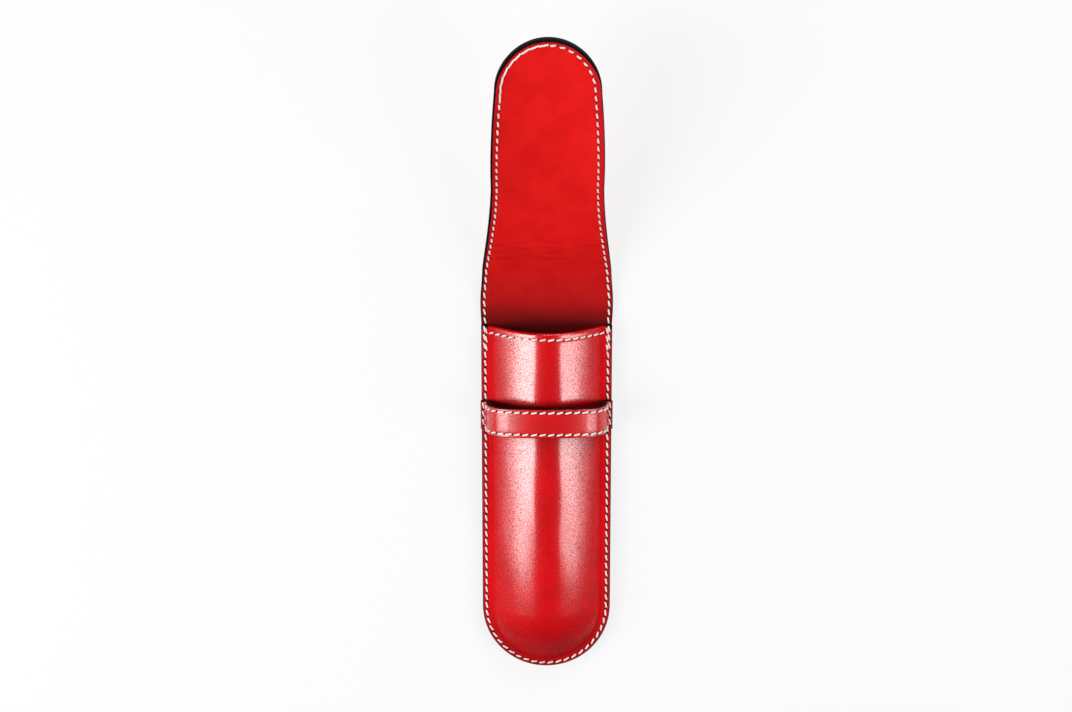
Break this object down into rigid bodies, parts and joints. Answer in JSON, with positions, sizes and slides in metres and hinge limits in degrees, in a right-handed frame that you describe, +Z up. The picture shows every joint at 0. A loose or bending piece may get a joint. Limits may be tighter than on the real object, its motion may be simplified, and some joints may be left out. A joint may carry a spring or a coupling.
{
  "type": "pen sleeve",
  "caption": "Slim leather pen sleeve: domed stitched pocket on a flat back, with a retaining band and a long tongue flap that folds over and tucks under the band.",
  "frame": {"origin": "on the flat underside of the back, on the mid-line, level with the pocket's mouth", "axes": "+Z up out of the back toward the pocket's ridge, +Y along the length toward the flap's tip, +X across"},
  "size_m": [0.0508, 0.2438, 0.0606],
  "materials": {
    "outer_leather": "smooth polished full-grain leather with black painted edges",
    "lining_leather": "matte smooth lining leather",
    "thread": "waxed cream saddle thread"
  },
  "bodies": {
    "pouch": {"back_outer": "outer_leather", "back_lining": "lining_leather", "pocket_front": "outer_leather", "pocket_lining": "lining_leather", "band_strap": "outer_leather", "band_lining": "lining_leather", "side_seam_thread": "thread", "mouth_thread": "thread", "band_upper_thread": "thread", "band_lower_thread": "thread"},
    "fold_low": {"fold_low_outer": "outer_leather", "fold_low_lining": "lining_leather", "fold_low_thread": "thread"},
    "fold_mid": {"fold_mid_outer": "outer_leather", "fold_mid_lining": "lining_leather", "fold_mid_thread": "thread"},
    "fold_high": {"fold_high_outer": "outer_leather", "fold_high_lining": "lining_leather", "fold_high_thread": "thread"},
    "flap": {"flap_outer": "outer_leather", "flap_lining": "lining_leather", "flap_thread": "thread"},
    "tongue": {"tongue_outer": "outer_leather", "tongue_lining": "lining_leather", "tongue_thread": "thread"}
  },
  "joints": [
    {"name": "fold_low_bend", "type": "hinge", "parent": "pouch", "child": "fold_low", "pos_m": [0, 0.02148, 0.00668], "axis": [1, 0, 0], "range_deg": [-5, 38]},
    {"name": "fold_mid_bend", "type": "hinge", "parent": "fold_low", "child": "fold_mid", "pos_m": [0, 0.02907, 0.01149], "axis": [1, 0, 0], "range_deg": [-5, 38]},
    {"name": "fold_high_bend", "type": "hinge", "parent": "fold_mid", "child": "fold_high", "pos_m": [0, 0.03616, 0.01703], "axis": [1, 0, 0], "range_deg": [-5, 42.4]},
    {"name": "flap_bend", "type": "hinge", "parent": "fold_high", "child": "flap", "pos_m": [0, 0.04326, 0.02256], "axis": [1, 0, 0], "range_deg": [-5, 42.4]},
    {"name": "tongue_bend", "type": "hinge", "parent": "flap", "child": "tongue", "pos_m": [0, 0.06841, 0.0371], "axis": [1, 0, 0], "range_deg": [-10.1, 1.3]}
  ],
  "couplings": [
    {"joint": "fold_mid_bend", "follows": "fold_low_bend", "ratio": 1},
    {"joint": "flap_bend", "follows": "fold_high_bend", "ratio": 1},
    {"joint": "tongue_bend", "follows": "fold_high_bend", "ratio": -0.236}
  ]
}
